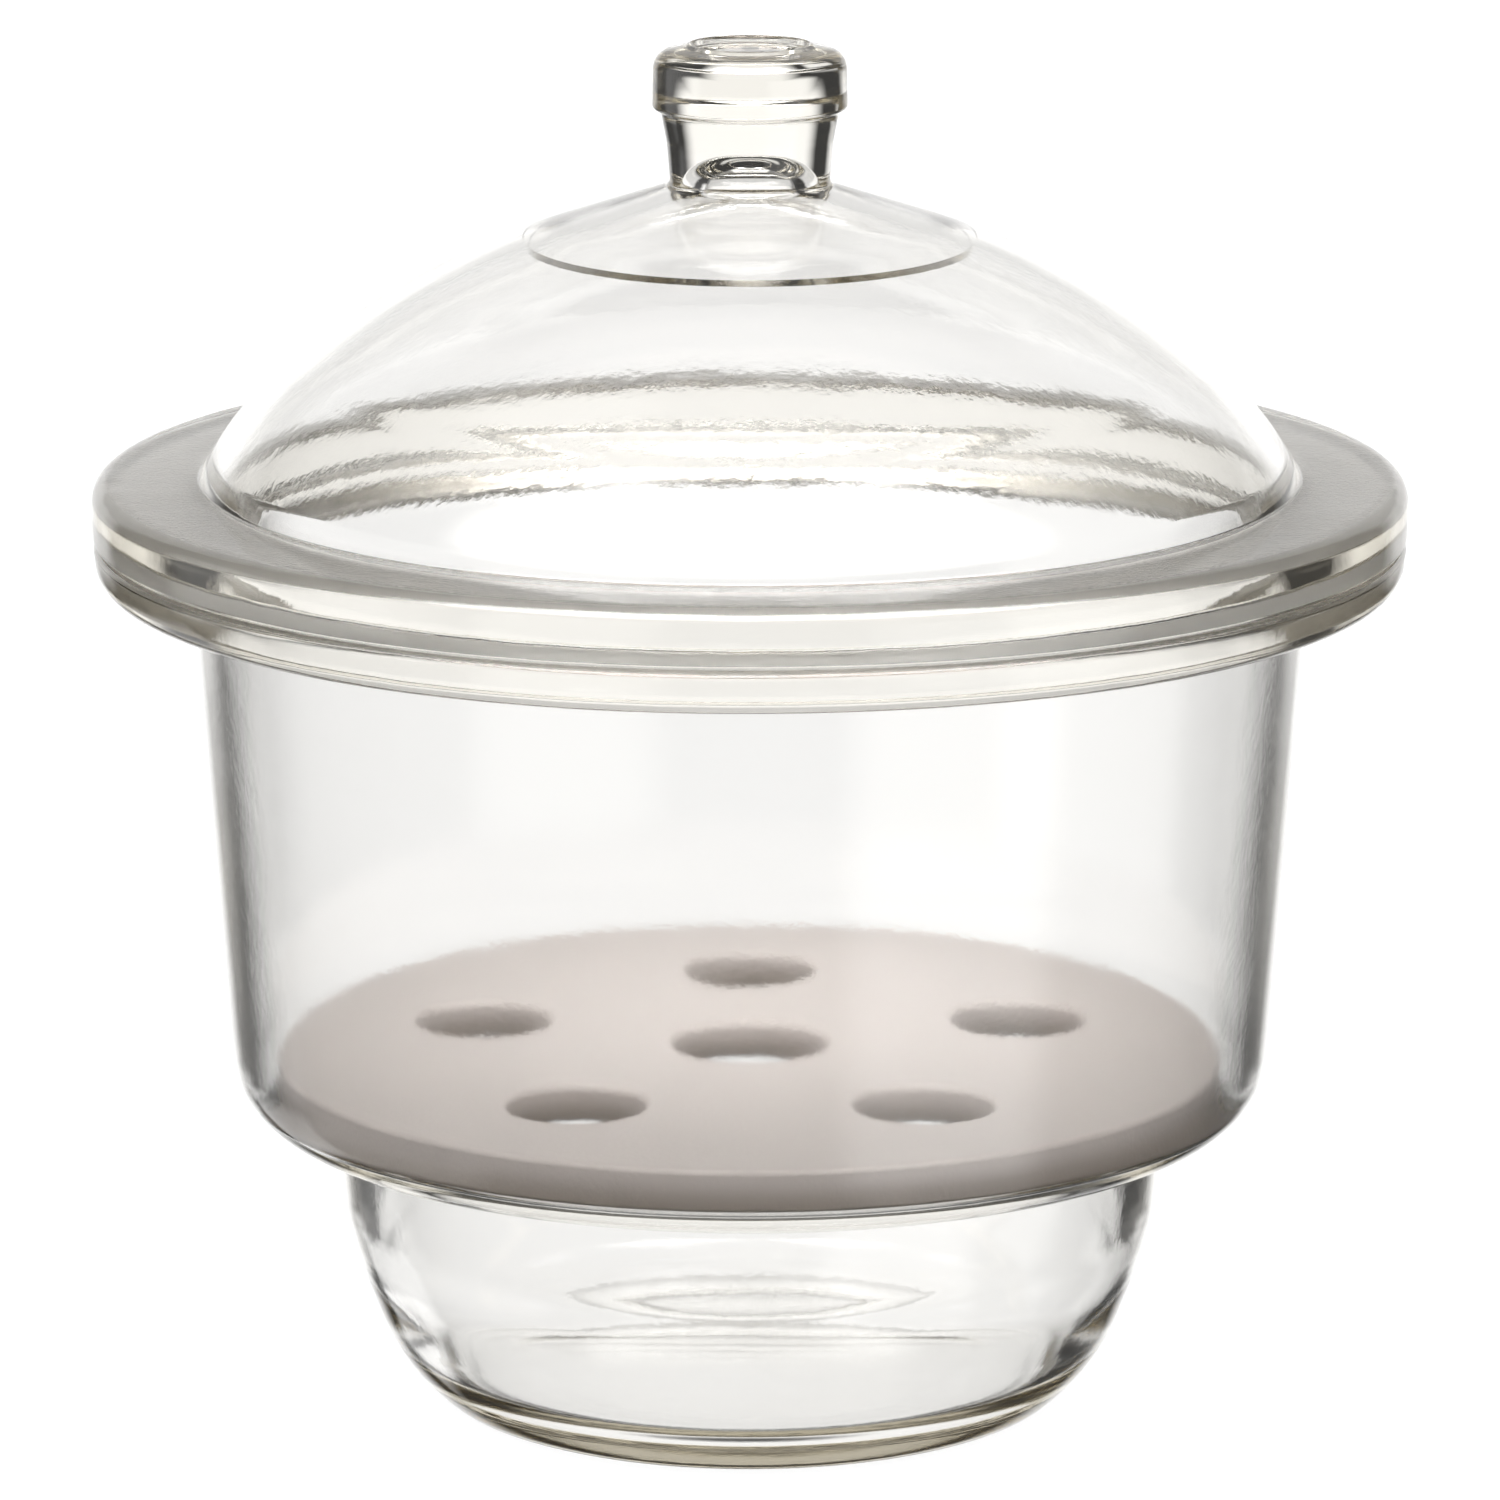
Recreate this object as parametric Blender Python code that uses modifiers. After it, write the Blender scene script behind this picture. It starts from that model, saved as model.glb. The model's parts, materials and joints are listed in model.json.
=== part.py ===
"""Glass desiccator: a flanged bowl, a flanged lid with a solid knob, and a loose perforated plate.

Metres, +Z up. The origin is on the axis, in the plane that the foot stands on.
"""
import math

import bpy

# --- Driving dimensions (metres) ---------------------------------------------------------------

TURN_STEPS = 60                 # segments round the axis
HOLE_STEPS = 26                 # segments round a plate hole
CORNER_STEP = 30                # degrees of a rounded corner covered by one segment
MERGE_DISTANCE = 0.00005
GAP = 0.0003                    # clearance between pieces that rest on each other

# Ground joint between bowl and lid.
JOINT_HEIGHT = 0.1800           # height of the bowl's ground face
FLANGE_RADIUS = 0.1335
LID_FLANGE_TOP = 0.1920
BOWL_FLANGE_UNDERSIDE = 0.1710

# Bowl, upper chamber: a slightly tapered wall.
WALL_RADIUS_TOP = 0.1134        # outside, at the flange's underside
WALL_RADIUS_BOTTOM = 0.1056     # outside, at the shoulder
MOUTH_RADIUS = 0.1068           # inside, at the ground face
CHAMBER_RADIUS = 0.1001         # inside, at the ledge

# Bowl, shoulder, lower chamber and foot.
SHOULDER_UNDERSIDE = 0.0592
SHOULDER_ROUNDING = 0.0130
LEDGE_HEIGHT = 0.0647           # the plate rests on this ledge
THROAT_RADIUS = 0.0793          # inside of the lower chamber, at the ledge
NECK_RADIUS = 0.0854            # outside of the lower chamber, under the shoulder
FLOOR_HEIGHT = 0.0070
FLOOR_RADIUS = 0.0670
FOOT_RADIUS = 0.0628
FOOT_RING_INNER = 0.0500        # the foot is a ring round a shallow recess
FOOT_RECESS = 0.0015

# Lid: the outside of the dome is two arcs, each given by a centre (radius, height) and a radius.
DOME_CENTRE = (-0.0136, 0.0821)
DOME_CURVE = 0.1699
HAUNCH_CENTRE = (0.0501, 0.1588)
HAUNCH_CURVE = 0.0703
HAUNCH_START = 0.0880           # distance from the axis at which the dome turns into the haunch
DOME_BASE_HEIGHT = 0.1935
CONE_RADIUS = 0.0370            # inside this the dome is a plain cone up to the knob
CONE_SLOPE = 0.3350
LID_WALL = 0.0066
CROWN_WALL = 0.0052             # thinner glass inside the crown ring
CROWN_RADIUS = 0.0466
LID_MOUTH_RADIUS = 0.1060

# Knob: solid glass with a bell-shaped hollow under it.
KNOB_TOP = 0.2800
KNOB_RADIUS = 0.0197
KNOB_UNDERSIDE = 0.2670
STEM_RADIUS = 0.0161
HOLLOW_TOP = 0.2555
HOLLOW_RADIUS = 0.0170

# Perforated plate.
PLATE_RADIUS = 0.0972
PLATE_THICKNESS = 0.0080
PLATE_EDGE = 0.0012             # rounding of the plate's rim
CENTRE_HOLE_RADIUS = 0.0158
RING_HOLE_RADIUS = 0.0138
HOLE_FLARE = 0.0012             # the holes widen by this much at both faces
RING_RADIUS = 0.0590
RING_HOLES = 5
RING_START = math.radians(90)   # the first ring hole lies on +Y

GLASS = {"colour": (0.86, 0.88, 0.84, 1.0), "roughness": 0.05}
PORCELAIN = {"colour": (0.66, 0.61, 0.57, 1.0), "roughness": 0.45}


# --- Outlines: lists of (radius, height) points -------------------------------------------------

def arc(centre, radius, start, end, steps):
    """Points on a circle from one angle to another, in degrees."""
    points = []
    for step in range(steps + 1):
        angle = math.radians(start + (end - start) * step / steps)
        points.append((centre[0] + radius * math.cos(angle), centre[1] + radius * math.sin(angle)))
    return points


def angle_at_radius(centre, radius, distance):
    """Angle in degrees of the circle's upper point that lies at a distance from the axis."""
    return math.degrees(math.acos((distance - centre[0]) / radius))


def angle_at_height(centre, radius, height):
    """Angle in degrees of the circle's outer point at a height."""
    return math.degrees(math.asin((height - centre[1]) / radius))


def corner_arc(before, corner, after, rounding):
    """The arc that rounds one corner of an outline."""
    to_before = math.atan2(before[1] - corner[1], before[0] - corner[0])
    to_after = math.atan2(after[1] - corner[1], after[0] - corner[0])
    turn = (to_after - to_before + math.pi) % (2 * math.pi) - math.pi
    middle = to_before + turn / 2
    reach = rounding / math.sin(abs(turn) / 2)
    centre = (corner[0] + reach * math.cos(middle), corner[1] + reach * math.sin(middle))
    sweep = math.degrees(math.copysign(math.pi - abs(turn), turn))
    start = math.degrees(middle) + 180 + sweep / 2
    return arc(centre, rounding, start, start - sweep, max(2, round(abs(sweep) / CORNER_STEP)))


def rounded(corners):
    """An outline through (radius, height, rounding) corners; its ends stay sharp."""
    points = [corners[0][:2]]
    for before, corner, after in zip(corners, corners[1:], corners[2:]):
        if corner[2] > 0:
            points += corner_arc(before, corner, after, corner[2])
        else:
            points.append(corner[:2])
    points.append(corners[-1][:2])
    return points


def cone_height(distance):
    """Height of the plain cone round the knob, at a distance from the axis."""
    angle = math.radians(angle_at_radius(DOME_CENTRE, DOME_CURVE, CONE_RADIUS))
    return DOME_CENTRE[1] + DOME_CURVE * math.sin(angle) + CONE_SLOPE * (CONE_RADIUS - distance)


def bowl_outline():
    """Half section of the bowl, from the middle of its floor up the inside and down the outside."""
    body = rounded([
        (0.0, FLOOR_HEIGHT, 0),
        (FLOOR_RADIUS, FLOOR_HEIGHT + 0.0005, 0.0130),
        (THROAT_RADIUS - 0.0028, 0.0290, 0.0300),
        (THROAT_RADIUS, LEDGE_HEIGHT, 0.0022),
        (CHAMBER_RADIUS, LEDGE_HEIGHT, 0.0030),
        (MOUTH_RADIUS, JOINT_HEIGHT, 0.0012),
        (FLANGE_RADIUS, JOINT_HEIGHT, 0.0010),
        (FLANGE_RADIUS - 0.0010, BOWL_FLANGE_UNDERSIDE, 0.0045),
        (WALL_RADIUS_TOP, BOWL_FLANGE_UNDERSIDE, 0.0030),
        (WALL_RADIUS_BOTTOM, SHOULDER_UNDERSIDE, SHOULDER_ROUNDING),
        (NECK_RADIUS, SHOULDER_UNDERSIDE, 0.0025),
        (0.0848, 0.0450, 0),
    ])
    lower_wall = arc((-0.0083, 0.0568), 0.0937, -11, -22, 2)
    heel = arc((0.0386, 0.0321), 0.0411, -22, -49, 4)
    foot = [
        (FOOT_RADIUS, 0.0),
        (FOOT_RING_INNER, 0.0),
        (FOOT_RING_INNER - 0.0030, FOOT_RECESS),
        (0.0, FOOT_RECESS),
    ]
    return body[:-1] + lower_wall + heel + foot


def knob_outline():
    """The knob from the middle of its dished top down to the foot of its stem."""
    return rounded([
        (0.0, KNOB_TOP - 0.0012, 0),
        (0.0098, KNOB_TOP - 0.0010, 0.0020),
        (0.0122, KNOB_TOP, 0.0006),
        (0.0134, KNOB_TOP - 0.0009, 0.0006),
        (KNOB_RADIUS - 0.0002, KNOB_TOP - 0.0018, 0.0040),
        (KNOB_RADIUS, KNOB_UNDERSIDE, 0.0014),
        (0.0180, KNOB_UNDERSIDE - 0.0008, 0.0008),
        (0.0168, 0.2600, 0.0200),
        (STEM_RADIUS, cone_height(STEM_RADIUS), 0.0018),
        (CONE_RADIUS, cone_height(CONE_RADIUS), 0),
    ])


def dome_outline(depth, from_radius):
    """Dome and haunch at a depth into the glass, from a distance from the axis down to the base."""
    dome = DOME_CURVE - depth
    haunch = HAUNCH_CURVE - depth
    start = angle_at_radius(DOME_CENTRE, dome, from_radius)
    turn = angle_at_radius(DOME_CENTRE, dome, HAUNCH_START - depth / 2)
    base = angle_at_height(HAUNCH_CENTRE, haunch, DOME_BASE_HEIGHT)
    return arc(DOME_CENTRE, dome, start, turn, 5) + arc(HAUNCH_CENTRE, haunch, turn - 6, base, 3)


def hollow_outline():
    """The bell-shaped hollow under the knob, from its rim up to the axis."""
    rim = cone_height(HOLLOW_RADIUS) - CROWN_WALL
    steps = 6
    points = []
    for step in range(steps + 1):
        share = 1 - step / steps
        rise = (1 + math.cos(math.pi * share)) / 2
        points.append((HOLLOW_RADIUS * share, rim + (HOLLOW_TOP - rim) * rise))
    return points


def lid_outline():
    """Half section of the lid: knob, dome, flange and ground face, then back up the inside."""
    dome = dome_outline(0.0, CONE_RADIUS + 0.004)
    base_radius, base_height = dome[-1]
    flange = rounded([
        (base_radius, base_height, 0),
        (base_radius + 0.0006, LID_FLANGE_TOP, 0.0008),
        (FLANGE_RADIUS, LID_FLANGE_TOP, 0.0026),
        (FLANGE_RADIUS, JOINT_HEIGHT + GAP, 0.0008),
        (LID_MOUTH_RADIUS, JOINT_HEIGHT + GAP, 0.0010),
        (LID_MOUTH_RADIUS - 0.0010, DOME_BASE_HEIGHT - 0.0040, 0),
    ])
    inside = dome_outline(LID_WALL, CROWN_RADIUS + 0.0006)
    inside.reverse()
    crown_angle = math.radians(angle_at_radius(DOME_CENTRE, DOME_CURVE - CROWN_WALL, CROWN_RADIUS))
    crown = [
        (CROWN_RADIUS, DOME_CENTRE[1] + (DOME_CURVE - CROWN_WALL) * math.sin(crown_angle)),
        (CONE_RADIUS, cone_height(CONE_RADIUS) - CROWN_WALL),
    ]
    return knob_outline() + dome + flange[1:] + inside + crown + hollow_outline()


def plate_outline():
    """Half section of the plate before its holes are cut."""
    bottom = LEDGE_HEIGHT + GAP
    return rounded([
        (0.0, bottom + PLATE_THICKNESS, 0),
        (PLATE_RADIUS, bottom + PLATE_THICKNESS, PLATE_EDGE),
        (PLATE_RADIUS, bottom, PLATE_EDGE),
        (0.0, bottom, 0),
    ])


def hole_outline(radius):
    """Half section of the tool that cuts a plate hole: a cylinder that flares beyond both faces."""
    reach = PLATE_THICKNESS / 2
    end = reach + HOLE_FLARE
    return [
        (0.0, end),
        (radius + 2 * HOLE_FLARE, end),
        (radius, reach - HOLE_FLARE),
        (radius, HOLE_FLARE - reach),
        (radius + 2 * HOLE_FLARE, -end),
        (0.0, -end),
    ]


# --- Building -----------------------------------------------------------------------------------

def new_collection(name):
    collection = bpy.data.collections.new(name)
    bpy.context.scene.collection.children.link(collection)
    return collection


def new_material(name, look):
    """A Principled material with the piece's colour, roughness and metallic value."""
    material = bpy.data.materials.new(name)
    material.use_nodes = True
    shader = material.node_tree.nodes["Principled BSDF"]
    shader.inputs["Base Color"].default_value = look["colour"]
    shader.inputs["Roughness"].default_value = look["roughness"]
    shader.inputs["Metallic"].default_value = 0.0
    material.diffuse_color = look["colour"]
    return material


def turned(name, outline, steps, collection, material=None):
    """A solid of revolution: the outline as a line mesh with a Screw modifier."""
    mesh = bpy.data.meshes.new(name)
    vertices = [(radius, 0.0, height) for radius, height in outline]
    edges = [(index, index + 1) for index in range(len(vertices) - 1)]
    mesh.from_pydata(vertices, edges, [])
    obj = bpy.data.objects.new(name, mesh)
    collection.objects.link(obj)
    screw = obj.modifiers.new("turn", "SCREW")
    screw.axis = "Z"
    screw.steps = steps
    screw.render_steps = steps
    screw.use_merge_vertices = True
    screw.merge_threshold = MERGE_DISTANCE
    screw.use_smooth_shade = True
    if material is not None:
        mesh.materials.append(material)
    return obj


def hole_places():
    """Name, centre and radius of each hole in the plate."""
    places = [("centre_hole_tool", (0.0, 0.0), CENTRE_HOLE_RADIUS)]
    for index in range(RING_HOLES):
        angle = RING_START + 2 * math.pi * index / RING_HOLES
        centre = (RING_RADIUS * math.cos(angle), RING_RADIUS * math.sin(angle))
        places.append((f"ring_hole_tool_{index + 1}", centre, RING_HOLE_RADIUS))
    return places


def cut_holes(plate, cutters):
    """Cuts every hole through the plate, each with its own hidden tool."""
    middle = LEDGE_HEIGHT + GAP + PLATE_THICKNESS / 2
    for name, centre, radius in hole_places():
        tool = turned(name, hole_outline(radius), HOLE_STEPS, cutters)
        tool.location = (centre[0], centre[1], middle)
        tool.hide_render = True
        tool.display_type = "WIRE"
    cut = plate.modifiers.new("holes", "BOOLEAN")
    cut.operation = "DIFFERENCE"
    cut.solver = "EXACT"
    cut.operand_type = "COLLECTION"
    cut.collection = cutters


def new_lift(name, height, collection):
    """An empty on the axis; the piece that is lifted out hangs from it."""
    empty = bpy.data.objects.new(name, None)
    empty.location = (0.0, 0.0, height)
    collection.objects.link(empty)
    return empty


def hang(piece, empty):
    """Parents a piece to an empty and keeps its place."""
    piece.parent = empty
    piece.location = (0.0, 0.0, -empty.location.z)


def main():
    for obj in list(bpy.data.objects):
        bpy.data.objects.remove(obj, do_unlink=True)
    collection = new_collection("glass_desiccator")
    cutters = new_collection("cutters")
    glass = new_material("glass", GLASS)
    porcelain = new_material("porcelain", PORCELAIN)

    turned("bowl", bowl_outline(), TURN_STEPS, collection, glass)
    lid = turned("lid", lid_outline(), TURN_STEPS, collection, glass)
    plate = turned("plate", plate_outline(), TURN_STEPS, collection, porcelain)
    cut_holes(plate, cutters)

    hang(lid, new_lift("lid_lift", JOINT_HEIGHT, collection))
    hang(plate, new_lift("plate_lift", LEDGE_HEIGHT, collection))


main()
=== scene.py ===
"""Looks of the glass desiccator: wavy pressed glass, ground joint faces, porcelain plate, bright studio.

Metres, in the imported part's frame. Each CAD piece is replaced by a finer one with the same outside.
The glass is thinner than the CAD's, and its rims are rounder.
"""

import json
import math

import bpy
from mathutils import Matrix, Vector, noise

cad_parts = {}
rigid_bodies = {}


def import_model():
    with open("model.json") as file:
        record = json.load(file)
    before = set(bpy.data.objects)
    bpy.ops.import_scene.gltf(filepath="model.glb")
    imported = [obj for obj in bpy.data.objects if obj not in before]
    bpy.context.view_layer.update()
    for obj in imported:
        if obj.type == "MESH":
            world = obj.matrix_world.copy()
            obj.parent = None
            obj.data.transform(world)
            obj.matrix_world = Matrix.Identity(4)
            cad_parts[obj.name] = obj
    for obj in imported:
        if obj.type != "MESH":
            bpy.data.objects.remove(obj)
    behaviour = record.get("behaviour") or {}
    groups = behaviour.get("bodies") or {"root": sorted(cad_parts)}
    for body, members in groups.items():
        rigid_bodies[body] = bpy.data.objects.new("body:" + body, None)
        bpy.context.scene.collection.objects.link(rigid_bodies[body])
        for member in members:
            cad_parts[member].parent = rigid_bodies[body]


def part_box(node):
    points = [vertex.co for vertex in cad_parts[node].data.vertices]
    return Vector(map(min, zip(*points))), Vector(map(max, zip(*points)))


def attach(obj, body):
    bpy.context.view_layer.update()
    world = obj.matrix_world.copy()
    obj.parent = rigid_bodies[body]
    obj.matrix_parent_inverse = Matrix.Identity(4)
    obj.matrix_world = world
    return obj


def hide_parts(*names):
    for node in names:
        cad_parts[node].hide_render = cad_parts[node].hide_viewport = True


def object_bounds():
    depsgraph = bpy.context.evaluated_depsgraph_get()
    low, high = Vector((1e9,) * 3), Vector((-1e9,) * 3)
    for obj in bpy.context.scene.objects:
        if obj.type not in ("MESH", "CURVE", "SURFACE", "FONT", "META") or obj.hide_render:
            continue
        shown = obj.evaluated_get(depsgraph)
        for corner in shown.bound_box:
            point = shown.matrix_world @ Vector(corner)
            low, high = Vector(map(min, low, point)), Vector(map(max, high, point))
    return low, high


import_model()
cad_low, cad_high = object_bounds()
lid_low, lid_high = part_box("lid")
bowl_low, bowl_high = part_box("bowl")
plate_low, plate_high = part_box("plate")

# --- Dimensions, from the frame where it has them -------------------------------------------------

TURN_STEPS = 320                # segments round the axis
HOLE_STEPS = 72                 # segments round a plate hole
CORNER_STEP = 12                # degrees of a rounded corner covered by one segment
LONGEST_STEP = 0.0022           # outlines are divided until no straight is longer
MERGE_DISTANCE = 0.00002
SHARP_ANGLE = math.radians(50)

FLANGE_RADIUS = lid_high.x
JOINT_HEIGHT = bowl_high.z      # the bowl's ground face
LID_JOINT = lid_low.z           # the lid's ground face
LID_FLANGE_TOP = JOINT_HEIGHT + 0.0120
BOWL_FLANGE_UNDERSIDE = JOINT_HEIGHT - 0.0090

WALL_RADIUS_TOP = 0.1134
WALL_RADIUS_BOTTOM = 0.1056
MOUTH_RADIUS = 0.1090           # inside, at the ground face
CHAMBER_RADIUS = 0.1011         # inside, at the ledge

PLATE_TOP = plate_high.z
PLATE_BOTTOM = plate_low.z
PLATE_RADIUS = plate_high.x
PLATE_EDGE = 0.0012
LEDGE_HEIGHT = PLATE_BOTTOM - (LID_JOINT - JOINT_HEIGHT)
SHOULDER_UNDERSIDE = 0.0592
SHOULDER_ROUNDING = 0.0130
THROAT_RADIUS = 0.0793
NECK_RADIUS = 0.0854
FLOOR_HEIGHT = 0.0070
FLOOR_RADIUS = 0.0670
LOWER_WALL_CENTRE = (-0.0083, 0.0568)
LOWER_WALL_CURVE = 0.0937
HEEL_CENTRE = (0.0386, 0.0321)
HEEL_CURVE = 0.0411
FOOT_RADIUS = 0.0628
FOOT_RING_INNER = 0.0500
FOOT_RECESS = 0.0002            # shallower than the CAD's, so that its edge stays faint

DOME_CENTRE = (-0.0136, 0.0821)
DOME_CURVE = 0.1699
HAUNCH_CENTRE = (0.0501, 0.1588)
HAUNCH_CURVE = 0.0703
HAUNCH_START = 0.0880
DOME_BASE_HEIGHT = 0.1935
CONE_RADIUS = 0.0370
CONE_SLOPE = 0.3350
LID_WALL = 0.0044
CROWN_WALL = 0.0058             # thicker glass inside the crown ring
CROWN_RADIUS = 0.0440
LID_MOUTH_RADIUS = 0.1082

KNOB_TOP = 0.2800
KNOB_RADIUS = 0.0197
KNOB_UNDERSIDE = 0.2670
STEM_RADIUS = 0.0161
HOLLOW_TOP = 0.2586
HOLLOW_RADIUS = 0.0088

CENTRE_HOLE_RADIUS = 0.0158
RING_HOLE_RADIUS = 0.0138
HOLE_ROUNDING = 0.0016
RING_RADIUS = 0.0590
RING_HOLES = 5
RING_START = math.radians(90)

# --- Camera and studio ----------------------------------------------------------------------------

SENSOR_WIDTH = 36.0             # millimetres, as Blender has it
LENS = 192.0
CAMERA_DISTANCE = 1.640
CAMERA_PITCH = math.radians(13.2)
TARGET_HEIGHT = 0.134
FLOOR_SIZE = 12.0

# The studio's light walls. A turn is counted in degrees from +Y towards -X, low and high are elevations,
# and side, low_soft and high_soft say how softly each edge fades. The back wall narrows towards the table.
DARK_LEVEL = 0.05
WHITE = 1.10
LIGHT_WALLS = [
    {"turn": 0, "half_width": 36, "side": 7,
     "low": -10, "low_soft": 3, "high": 13, "high_soft": 6, "level": 1.20},
    {"turn": 0, "half_width": 31, "side": 6,
     "low": -14, "low_soft": 3, "high": 6, "high_soft": 4, "level": WHITE},
    {"turn": 0, "half_width": 18, "side": 7,
     "low": -50, "low_soft": 6, "high": 6, "high_soft": 4, "level": WHITE},
    {"turn": 0, "half_width": 38, "side": 6,
     "low": 8, "low_soft": 6, "high": 42, "high_soft": 8, "level": 0.78},
    {"turn": 180, "half_width": 75, "side": 12,
     "low": 42, "low_soft": 6, "high": 76, "high_soft": 6, "level": 8.4},
    {"turn": 90, "half_width": 27, "side": 7,
     "low": -16, "low_soft": 7, "high": 26, "high_soft": 7, "level": WHITE},
    {"turn": 225, "half_width": 22, "side": 7,
     "low": -30, "low_soft": 6, "high": 2, "high_soft": 6, "level": WHITE},
    {"turn": 45, "half_width": 16, "side": 3,
     "low": -37, "low_soft": 3, "high": -20, "high_soft": 3, "level": WHITE},
]
TABLE_FROM = 58                 # degrees below the horizon
TABLE_SOFT = 8
TABLE_LEVEL = 0.22


# --- Outlines: lists of (radius, height) points ---------------------------------------------------

def arc(centre, radius, start, end, steps):
    """Points on a circle from one angle to another, in degrees."""
    points = []
    for step in range(steps + 1):
        angle = math.radians(start + (end - start) * step / steps)
        points.append((centre[0] + radius * math.cos(angle), centre[1] + radius * math.sin(angle)))
    return points


def angle_at_radius(centre, radius, distance):
    """Angle in degrees of the circle's upper point that lies at a distance from the axis."""
    return math.degrees(math.acos((distance - centre[0]) / radius))


def angle_at_height(centre, radius, height):
    """Angle in degrees of the circle's outer point at a height."""
    return math.degrees(math.asin((height - centre[1]) / radius))


def corner_arc(before, corner, after, rounding):
    """The arc that rounds one corner of an outline."""
    to_before = math.atan2(before[1] - corner[1], before[0] - corner[0])
    to_after = math.atan2(after[1] - corner[1], after[0] - corner[0])
    turn = (to_after - to_before + math.pi) % (2 * math.pi) - math.pi
    middle = to_before + turn / 2
    reach = rounding / math.sin(abs(turn) / 2)
    centre = (corner[0] + reach * math.cos(middle), corner[1] + reach * math.sin(middle))
    sweep = math.degrees(math.copysign(math.pi - abs(turn), turn))
    start = math.degrees(middle) + 180 + sweep / 2
    return arc(centre, rounding, start, start - sweep, max(3, round(abs(sweep) / CORNER_STEP)))


def rounded(corners):
    """An outline through (radius, height, rounding) corners; its ends stay sharp."""
    points = [corners[0][:2]]
    for before, corner, after in zip(corners, corners[1:], corners[2:]):
        if corner[2] > 0:
            points += corner_arc(before, corner, after, corner[2])
        else:
            points.append(corner[:2])
    points.append(corners[-1][:2])
    return points


def divided(outline):
    """The outline with its long straights divided, so that ripples have points to move."""
    points = [outline[0]]
    for start, end in zip(outline, outline[1:]):
        length = math.dist(start, end)
        pieces = max(1, math.ceil(length / LONGEST_STEP))
        for piece in range(1, pieces + 1):
            share = piece / pieces
            points.append((start[0] + (end[0] - start[0]) * share, start[1] + (end[1] - start[1]) * share))
    return points


def cone_height(distance):
    """Height of the plain cone round the knob, at a distance from the axis."""
    angle = math.radians(angle_at_radius(DOME_CENTRE, DOME_CURVE, CONE_RADIUS))
    return DOME_CENTRE[1] + DOME_CURVE * math.sin(angle) + CONE_SLOPE * (CONE_RADIUS - distance)


def bowl_outline():
    """Half section of the bowl, from the middle of its floor up the inside and down the outside."""
    body = rounded([
        (0.0, FLOOR_HEIGHT, 0),
        (FLOOR_RADIUS, FLOOR_HEIGHT + 0.0005, 0.0130),
        (THROAT_RADIUS - 0.0028, 0.0290, 0.0300),
        (THROAT_RADIUS, LEDGE_HEIGHT, 0.0022),
        (CHAMBER_RADIUS, LEDGE_HEIGHT, 0.0030),
        (MOUTH_RADIUS, JOINT_HEIGHT, 0.0012),
        (FLANGE_RADIUS, JOINT_HEIGHT, 0.0016),
        (FLANGE_RADIUS - 0.0010, BOWL_FLANGE_UNDERSIDE, 0.0054),
        (WALL_RADIUS_TOP, BOWL_FLANGE_UNDERSIDE, 0.0030),
        (WALL_RADIUS_BOTTOM, SHOULDER_UNDERSIDE, SHOULDER_ROUNDING),
        (NECK_RADIUS, SHOULDER_UNDERSIDE, 0.0025),
        (0.0848, 0.0450, 0),    # only aims the corner before it
    ])
    lower_wall = arc(LOWER_WALL_CENTRE, LOWER_WALL_CURVE, -11, -22, 6)
    heel = arc(HEEL_CENTRE, HEEL_CURVE, -22, -49, 10)
    foot = [
        (FOOT_RADIUS, 0.0),
        (FOOT_RING_INNER, 0.0),
        (FOOT_RING_INNER - 0.0020, FOOT_RECESS),
        (0.0, FOOT_RECESS),
    ]
    return body[:-1] + lower_wall + heel + foot


def knob_outline():
    """The knob from the middle of its dished top down to the foot of its stem."""
    return rounded([
        (0.0, KNOB_TOP - 0.0018, 0),
        (0.0108, KNOB_TOP - 0.0015, 0.0012),
        (0.0122, KNOB_TOP, 0.0006),
        (0.0134, KNOB_TOP - 0.0009, 0.0006),
        (KNOB_RADIUS - 0.0002, KNOB_TOP - 0.0018, 0.0040),
        (KNOB_RADIUS, KNOB_UNDERSIDE, 0.0009),
        (0.0180, KNOB_UNDERSIDE - 0.0008, 0.0008),
        (0.0168, 0.2600, 0.0200),
        (STEM_RADIUS, cone_height(STEM_RADIUS), 0.0018),
        (CONE_RADIUS, cone_height(CONE_RADIUS), 0),
    ])


def dome_outline(depth, from_radius):
    """Dome and haunch at a depth into the glass, from a distance from the axis down to the base."""
    dome = DOME_CURVE - depth
    haunch = HAUNCH_CURVE - depth
    start = angle_at_radius(DOME_CENTRE, dome, from_radius)
    turn = angle_at_radius(DOME_CENTRE, dome, HAUNCH_START - depth / 2)
    base = angle_at_height(HAUNCH_CENTRE, haunch, DOME_BASE_HEIGHT)
    return arc(DOME_CENTRE, dome, start, turn, 24) + arc(HAUNCH_CENTRE, haunch, turn - 2, base, 16)


def hollow_outline():
    """The round-topped hollow under the knob, from the crown up to the axis."""
    return rounded([
        (CONE_RADIUS, cone_height(CONE_RADIUS) - CROWN_WALL, 0),
        (HOLLOW_RADIUS + 0.0008, cone_height(HOLLOW_RADIUS) - CROWN_WALL, 0.0040),
        (HOLLOW_RADIUS - 0.0008, HOLLOW_TOP + 0.0002, 0.0074),
        (0.0, HOLLOW_TOP, 0),
    ])


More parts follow.
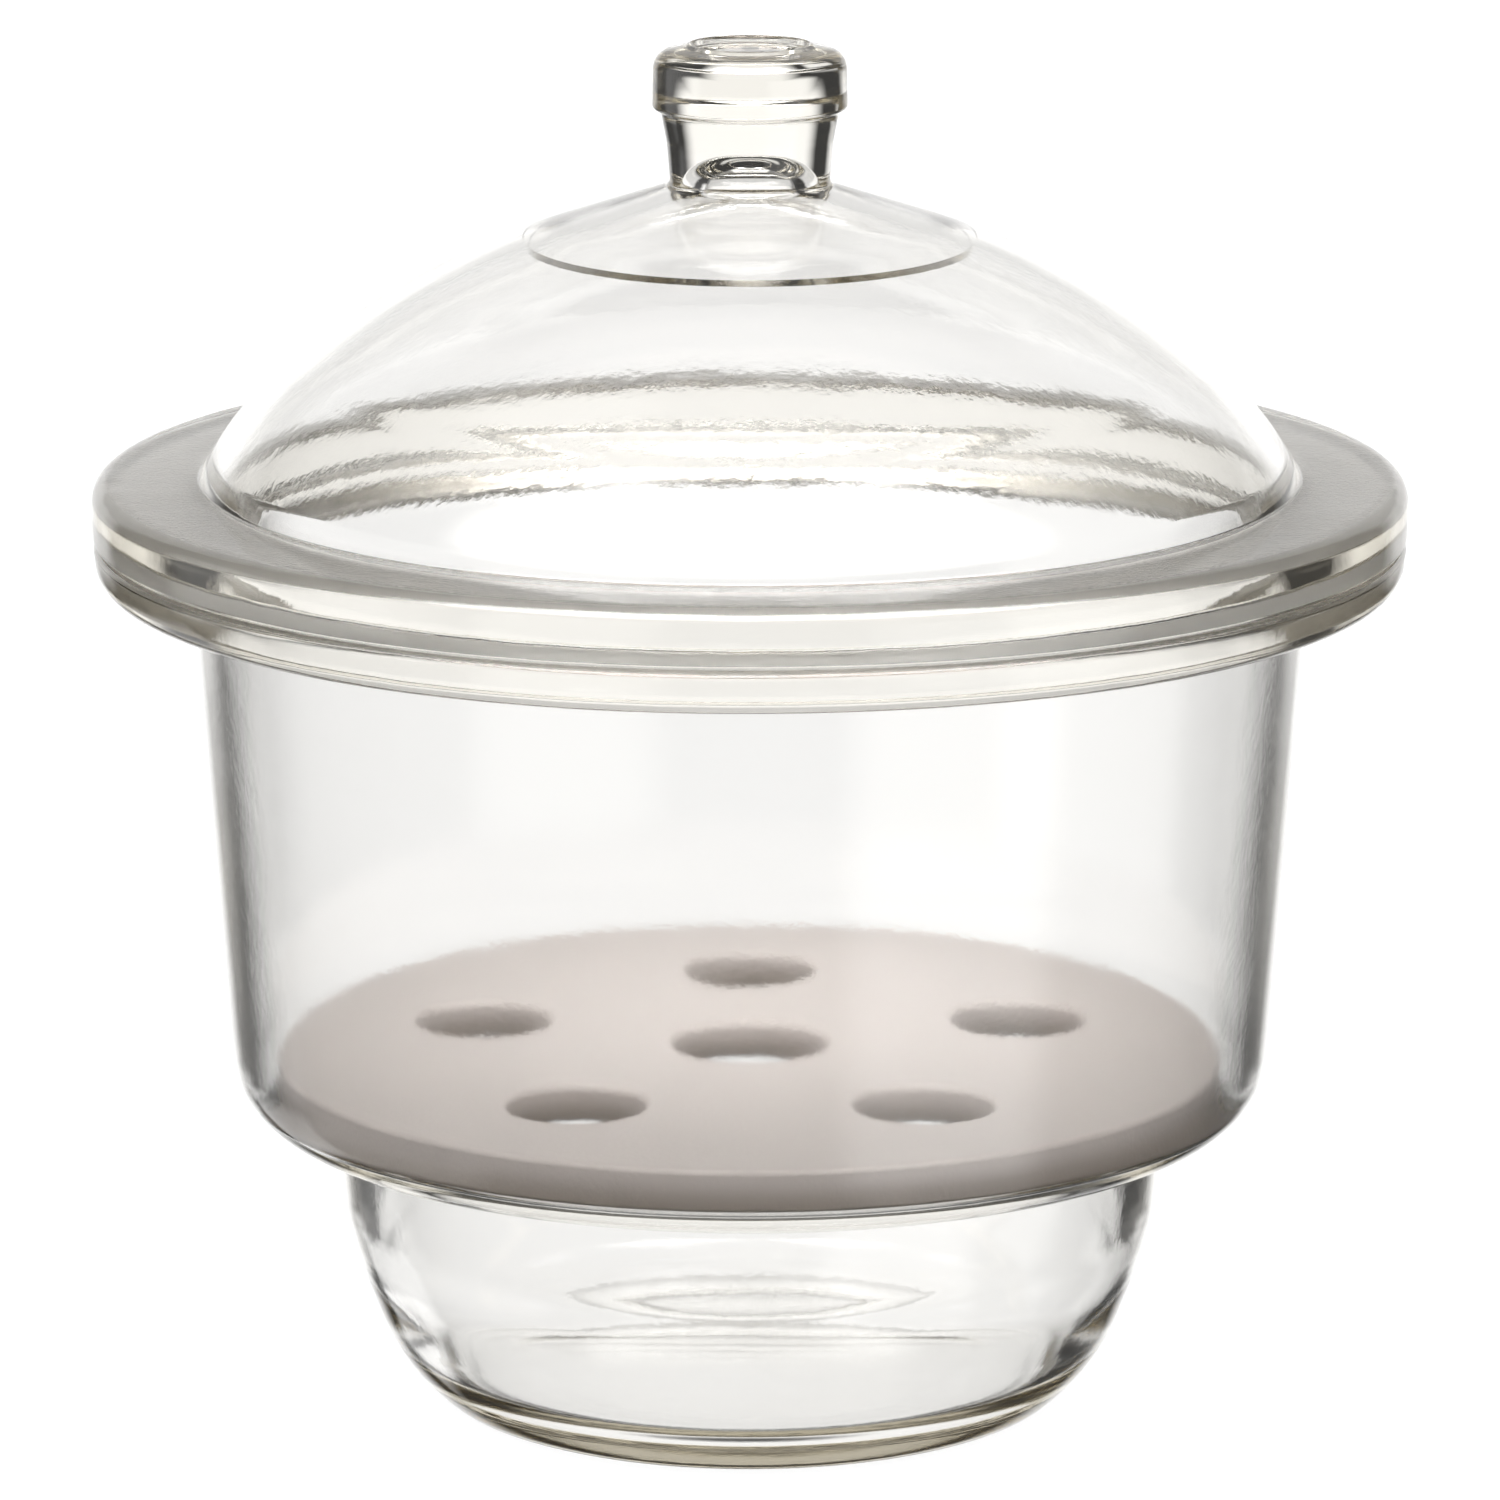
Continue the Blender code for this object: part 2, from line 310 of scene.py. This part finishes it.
def lid_outline():
    """Half section of the lid: knob, dome, flange and ground face, then back up the inside."""
    dome = dome_outline(0.0, CONE_RADIUS + 0.002)
    base_radius, base_height = dome[-1]
    flange = rounded([
        (base_radius, base_height, 0),
        (base_radius + 0.0006, LID_FLANGE_TOP, 0.0008),
        (FLANGE_RADIUS, LID_FLANGE_TOP, 0.0036),
        (FLANGE_RADIUS, LID_JOINT, 0.0014),
        (LID_MOUTH_RADIUS, LID_JOINT, 0.0010),
        (LID_MOUTH_RADIUS - 0.0010, DOME_BASE_HEIGHT - 0.0040, 0),
    ])
    inside = dome_outline(LID_WALL, CROWN_RADIUS + 0.0006)
    inside.reverse()
    crown_angle = math.radians(angle_at_radius(DOME_CENTRE, DOME_CURVE - CROWN_WALL, CROWN_RADIUS))
    crown = [(CROWN_RADIUS, DOME_CENTRE[1] + (DOME_CURVE - CROWN_WALL) * math.sin(crown_angle))]
    return knob_outline() + dome + flange[1:] + inside + crown + hollow_outline()


def plate_outline():
    """Half section of the plate before its holes are cut."""
    return rounded([
        (0.0, PLATE_TOP, 0),
        (PLATE_RADIUS, PLATE_TOP, PLATE_EDGE),
        (PLATE_RADIUS, PLATE_BOTTOM, PLATE_EDGE),
        (0.0, PLATE_BOTTOM, 0),
    ])


def hole_outline(radius):
    """Half section of the tool that cuts a plate hole and rounds its rims."""
    half = (PLATE_TOP - PLATE_BOTTOM) / 2
    flare = arc((radius + HOLE_ROUNDING, half - HOLE_ROUNDING), HOLE_ROUNDING, 96, 180, 8)
    beyond = [(0.0, half + 0.001), (flare[0][0], half + 0.001)]
    upper = beyond + flare
    return upper + [(x, -z) for x, z in reversed(upper)]


# --- Meshes ---------------------------------------------------------------------------------------

def link(obj):
    bpy.context.scene.collection.objects.link(obj)
    return obj


def turned(name, outline, steps):
    """A solid of revolution: the outline as a line mesh with a Screw modifier."""
    mesh = bpy.data.meshes.new(name)
    vertices = [(radius, 0.0, height) for radius, height in outline]
    edges = [(index, index + 1) for index in range(len(vertices) - 1)]
    mesh.from_pydata(vertices, edges, [])
    obj = link(bpy.data.objects.new(name, mesh))
    screw = obj.modifiers.new("turn", "SCREW")
    screw.axis = "Z"
    screw.steps = steps
    screw.render_steps = steps
    screw.use_merge_vertices = True
    screw.merge_threshold = MERGE_DISTANCE
    screw.use_smooth_shade = True
    return obj


def baked(obj):
    """The object with its modifiers made into plain mesh."""
    bpy.context.view_layer.update()
    evaluated = obj.evaluated_get(bpy.context.evaluated_depsgraph_get())
    mesh = bpy.data.meshes.new_from_object(evaluated)
    mesh.name = obj.name
    obj.modifiers.clear()
    obj.data = mesh
    mesh.shade_smooth()
    mesh.set_sharp_from_angle(angle=SHARP_ANGLE)
    return obj


def ripple(obj, amount):
    """Moves each vertex along its normal by amount(point), in metres."""
    mesh = obj.data
    places = [vertex.co.copy() for vertex in mesh.vertices]
    normals = [vertex.normal.copy() for vertex in mesh.vertices]
    for vertex, place, normal in zip(mesh.vertices, places, normals):
        vertex.co = place + normal * amount(place)
    mesh.update()


JOINT_REACH = 0.0006            # both ground faces lie this close to the joint
SLOW_RIPPLE = 0.00006
FINE_RIPPLE = 0.000008
RIM_RIPPLE = 0.00006


def ground(place):
    """True on the two ground faces of the joint."""
    return abs(place.z - JOINT_HEIGHT) < JOINT_REACH


def pressed_waves(place):
    """How far a point of the pressed glass stands off its true outline."""
    if ground(place):
        return 0.0
    slow = noise.noise(place * 22.0) * SLOW_RIPPLE
    fine = noise.noise(place * 75.0) * FINE_RIPPLE
    distance = math.hypot(place.x, place.y)
    on_rim = max(0.0, min(1.0, (distance - FLANGE_RADIUS + 0.006) / 0.004))
    return slow + fine + on_rim * noise.noise(place * 210.0) * RIM_RIPPLE


# --- Materials ------------------------------------------------------------------------------------

class Nodes:
    """A small helper that adds and joins shader nodes."""

    def __init__(self, tree):
        self.tree = tree

    def add(self, kind, values=None, **settings):
        node = self.tree.nodes.new(kind)
        for name, value in settings.items():
            setattr(node, name, value)
        for socket, value in (values or {}).items():
            self.put(node.inputs[socket], value)
        return node

    def put(self, socket, value):
        if isinstance(value, bpy.types.NodeSocket):
            self.tree.links.new(value, socket)
        else:
            socket.default_value = value

    def math(self, operation, a, b=0.0):
        return self.add("ShaderNodeMath", {0: a, 1: b}, operation=operation).outputs[0]

    def noise(self, place, scale, detail):
        values = {"Vector": place, "Scale": scale, "Detail": detail}
        return self.add("ShaderNodeTexNoise", values).outputs["Fac"]

    def step(self, value, low, high):
        """0 below low, 1 above high, smooth in between."""
        values = {"Value": value, "From Min": low, "From Max": high}
        return self.add("ShaderNodeMapRange", values, interpolation_type="SMOOTHSTEP").outputs["Result"]

    def mix(self, share, a, b):
        node = self.add("ShaderNodeMix", data_type="RGBA")
        self.put(node.inputs["Factor"], share)
        self.put(node.inputs[6], a)
        self.put(node.inputs[7], b)
        return node.outputs[2]


def cosines(angle, soft):
    """The cosines of an angle's two soft limits in degrees, smaller first."""
    return math.cos(math.radians(angle + soft)), math.cos(math.radians(angle - soft))


def sines(angle, soft):
    """The sines of an angle's two soft limits in degrees, smaller first."""
    return math.sin(math.radians(angle - soft)), math.sin(math.radians(angle + soft))


def new_material(name):
    material = bpy.data.materials.new(name)
    material.use_nodes = True
    nodes = Nodes(material.node_tree)
    shader = material.node_tree.nodes["Principled BSDF"]
    output = material.node_tree.nodes["Material Output"]
    return material, nodes, shader, output


GLASS_INDEX = 1.52
WAVE_HEIGHT = 0.000016
PEEL_HEIGHT = 0.000008
ABSORPTION_COLOUR = (0.78, 0.72, 0.555, 1.0)
ABSORPTION_DENSITY = 11.0
GROUND_COLOUR = (0.93, 0.91, 0.88, 1.0)
GROUND_ROUGHNESS = 0.58
GRIT_HEIGHT = 0.00004
SMUDGE_ROUGHNESS = 0.08
WALL_HAZE = 0.03                # added roughness
FLOOR_HAZE = 0.12
WALL_HAZE_FROM = 0.070          # the haze of the tall wall fades in between these heights
WALL_HAZE_TO = 0.078
FLOOR_HAZE_TOP = 0.020          # no floor haze above this height


def glass_material(name, wall_haze):
    """Clear pressed glass, ground where the joint's faces lie; wall_haze roughens the bowl's tall wall."""
    material, nodes, shader, output = new_material(name)
    geometry = nodes.add("ShaderNodeNewGeometry")
    place = nodes.add("ShaderNodeTexCoord").outputs["Object"]
    height = nodes.add("ShaderNodeSeparateXYZ", {0: place}).outputs["Z"]
    upright = nodes.add("ShaderNodeSeparateXYZ", {0: geometry.outputs["True Normal"]}).outputs["Z"]
    off_joint = nodes.math("ABSOLUTE", nodes.math("SUBTRACT", height, JOINT_HEIGHT))
    at_joint = nodes.math("LESS_THAN", off_joint, JOINT_REACH)
    flat = nodes.math("GREATER_THAN", nodes.math("ABSOLUTE", upright), 0.8)
    ground_face = nodes.math("MULTIPLY", at_joint, flat)

    nodes.put(shader.inputs["Base Color"], nodes.mix(ground_face, (1, 1, 1, 1), GROUND_COLOUR))

    smudge = nodes.math("MULTIPLY", nodes.noise(place, 34.0, 4.0), SMUDGE_ROUGHNESS)
    grit = nodes.noise(place, 1800.0, 2.0)
    on_wall = nodes.math("MULTIPLY", nodes.step(height, WALL_HAZE_FROM, WALL_HAZE_TO), wall_haze)
    inner_floor = nodes.math("MULTIPLY", nodes.step(height, 0.004, 0.006), nodes.step(upright, 0.5, 0.8))
    low_down = nodes.math("LESS_THAN", height, FLOOR_HAZE_TOP)
    on_floor = nodes.math("MULTIPLY", nodes.math("MULTIPLY", inner_floor, low_down), FLOOR_HAZE)
    roughness = nodes.math("ADD", smudge, nodes.math("MULTIPLY", ground_face, GROUND_ROUGHNESS))
    roughness = nodes.math("ADD", roughness, nodes.math("ADD", on_wall, on_floor))
    nodes.put(shader.inputs["Roughness"], roughness)

    waves = nodes.math("MULTIPLY", nodes.noise(place, 110.0, 2.0), WAVE_HEIGHT)
    peel = nodes.math("MULTIPLY", nodes.noise(place, 600.0, 2.0), PEEL_HEIGHT)
    grit = nodes.math("MULTIPLY", nodes.math("MULTIPLY", grit, ground_face), GRIT_HEIGHT)
    height_map = nodes.math("ADD", nodes.math("ADD", waves, peel), grit)
    bump = nodes.add("ShaderNodeBump", {"Strength": 1.0, "Distance": 1.0, "Height": height_map})
    nodes.put(shader.inputs["Normal"], bump.outputs["Normal"])

    shader.inputs["IOR"].default_value = GLASS_INDEX
    shader.inputs["Transmission Weight"].default_value = 1.0
    absorption = nodes.add("ShaderNodeVolumeAbsorption")
    absorption.inputs["Color"].default_value = ABSORPTION_COLOUR
    absorption.inputs["Density"].default_value = ABSORPTION_DENSITY
    nodes.put(output.inputs["Volume"], absorption.outputs["Volume"])
    return material


def porcelain_material():
    """Warm white glaze with faint mottling, and painted shade that darkens the plate's edge towards the
    bottom and covers its underside.
    """
    material, nodes, shader, _ = new_material("porcelain")
    place = nodes.add("ShaderNodeTexCoord").outputs["Object"]
    cloud = nodes.noise(place, 22.0, 4.0)
    glaze = nodes.mix(cloud, (0.84, 0.76, 0.715, 1), (0.88, 0.81, 0.775, 1))
    # painted shade: a dark brown tone on the underside that fades up the plate's edge, so the edge grows
    # darker towards the bottom
    painted_shade = nodes.mix(cloud, (0.42, 0.36, 0.31, 1), (0.52, 0.45, 0.39, 1))
    height = nodes.add("ShaderNodeSeparateXYZ", {0: place}).outputs["Z"]
    colour = nodes.mix(nodes.step(height, PLATE_BOTTOM + 0.0006, PLATE_TOP - 0.0012), painted_shade, glaze)
    nodes.put(shader.inputs["Base Color"], colour)
    nodes.put(shader.inputs["Roughness"], nodes.math("ADD", nodes.math("MULTIPLY", cloud, 0.15), 0.35))
    grain = nodes.noise(place, 900.0, 2.0)
    bump = nodes.add("ShaderNodeBump", {"Strength": 0.25, "Distance": 0.0004, "Height": grain})
    nodes.put(shader.inputs["Normal"], bump.outputs["Normal"])
    return material


def floor_material():
    """Pale, evenly lit table that still takes a faint shadow."""
    material, nodes, _, output = new_material("table")
    diffuse = nodes.add("ShaderNodeBsdfDiffuse", {"Color": (0.12, 0.12, 0.12, 1)})
    glow = nodes.add("ShaderNodeEmission", {"Color": (1, 1, 1, 1), "Strength": 0.97})
    both = nodes.add("ShaderNodeAddShader", {0: diffuse.outputs[0], 1: glow.outputs[0]})
    nodes.put(output.inputs["Surface"], both.outputs[0])
    return material


# --- Pieces ---------------------------------------------------------------------------------------

def cover(obj, material):
    obj.data.materials.clear()
    obj.data.materials.append(material)


def build_bowl():
    bowl = baked(turned("bowl_glass_body", divided(bowl_outline()), TURN_STEPS))
    ripple(bowl, pressed_waves)
    cover(bowl, glass_material("bowl_glass", WALL_HAZE))
    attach(bowl, "bowl")
    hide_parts("bowl")


def build_lid():
    lid = baked(turned("lid_glass_body", divided(lid_outline()), TURN_STEPS))
    ripple(lid, pressed_waves)
    cover(lid, glass_material("lid_glass", 0.0))
    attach(lid, "lid")
    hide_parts("lid")


def hole_places():
    """Centre and radius of each hole in the plate."""
    places = [((0.0, 0.0), CENTRE_HOLE_RADIUS)]
    for index in range(RING_HOLES):
        angle = RING_START + 2 * math.pi * index / RING_HOLES
        centre = (RING_RADIUS * math.cos(angle), RING_RADIUS * math.sin(angle))
        places.append((centre, RING_HOLE_RADIUS))
    return places


def build_plate():
    plate = turned("porcelain_plate", divided(plate_outline()), TURN_STEPS)
    tools = bpy.data.collections.new("plate_tools")
    bpy.context.scene.collection.children.link(tools)
    for index, (centre, radius) in enumerate(hole_places()):
        tool = turned(f"hole_tool_{index}", hole_outline(radius), HOLE_STEPS)
        tool.location = (*centre, (PLATE_TOP + PLATE_BOTTOM) / 2)
        bpy.context.scene.collection.objects.unlink(tool)
        tools.objects.link(tool)
    cut = plate.modifiers.new("holes", "BOOLEAN")
    cut.operation = "DIFFERENCE"
    cut.solver = "EXACT"
    cut.operand_type = "COLLECTION"
    cut.collection = tools
    baked(plate)
    for tool in list(tools.objects):
        bpy.data.objects.remove(tool, do_unlink=True)
    bpy.data.collections.remove(tools)
    cover(plate, porcelain_material())
    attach(plate, "plate")
    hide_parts("plate")


def build_floor():
    half = FLOOR_SIZE / 2
    mesh = bpy.data.meshes.new("table")
    corners = [(-half, -half, 0), (half, -half, 0), (half, half, 0), (-half, half, 0)]
    mesh.from_pydata(corners, [], [(0, 1, 2, 3)])
    floor = link(bpy.data.objects.new("table", mesh))
    floor.location.z = cad_low.z - 0.0004
    cover(floor, floor_material())
    floor.visible_transmission = False
    floor.visible_glossy = False


def build_world():
    """A dark studio with white light walls round it, a soft box over the camera and a dim table."""
    world = bpy.data.worlds.new("studio")
    bpy.context.scene.world = world
    world.use_nodes = True
    nodes = Nodes(world.node_tree)
    background = world.node_tree.nodes["Background"]
    direction = nodes.add("ShaderNodeTexCoord").outputs["Generated"]
    parts = nodes.add("ShaderNodeSeparateXYZ", {0: direction})
    east, north, rise = parts.outputs["X"], parts.outputs["Y"], parts.outputs["Z"]
    level = nodes.math("SQRT", nodes.math("SUBTRACT", 1.0, nodes.math("MULTIPLY", rise, rise)))
    level = nodes.math("MAXIMUM", level, 0.001)
    light = DARK_LEVEL
    for wall in LIGHT_WALLS:
        turn = math.radians(wall["turn"])
        along = nodes.math("ADD", nodes.math("MULTIPLY", east, -math.sin(turn)),
                           nodes.math("MULTIPLY", north, math.cos(turn)))
        share = nodes.step(nodes.math("DIVIDE", along, level), *cosines(wall["half_width"], wall["side"]))
        share = nodes.math("MULTIPLY", share, nodes.step(rise, *sines(wall["low"], wall["low_soft"])))
        above = nodes.step(rise, *sines(wall["high"], wall["high_soft"]))
        share = nodes.math("MULTIPLY", share, nodes.math("SUBTRACT", 1.0, above))
        light = nodes.math("MAXIMUM", light, nodes.math("MULTIPLY", share, wall["level"]))
    below = nodes.step(nodes.math("MULTIPLY", rise, -1.0), *sines(TABLE_FROM, TABLE_SOFT))
    light = nodes.math("MAXIMUM", light, nodes.math("MULTIPLY", below, TABLE_LEVEL))
    nodes.put(background.inputs["Color"], light)
    background.inputs["Strength"].default_value = 1.0


def build_camera():
    data = bpy.data.cameras.new("camera")
    data.sensor_width = SENSOR_WIDTH
    data.lens = LENS
    camera = link(bpy.data.objects.new("camera", data))
    back = Vector((0.0, -math.cos(CAMERA_PITCH), math.sin(CAMERA_PITCH)))
    camera.location = Vector((0.0, 0.0, TARGET_HEIGHT)) + back * CAMERA_DISTANCE
    camera.rotation_euler = (-back).to_track_quat("-Z", "Y").to_euler()
    bpy.context.scene.camera = camera


build_bowl()
build_lid()
build_plate()
build_floor()
build_world()
build_camera()
bpy.context.scene.view_settings.view_transform = "Standard"
bpy.context.scene.cycles.max_bounces = 40
bpy.context.scene.cycles.transmission_bounces = 40
bpy.context.scene.cycles.glossy_bounces = 24
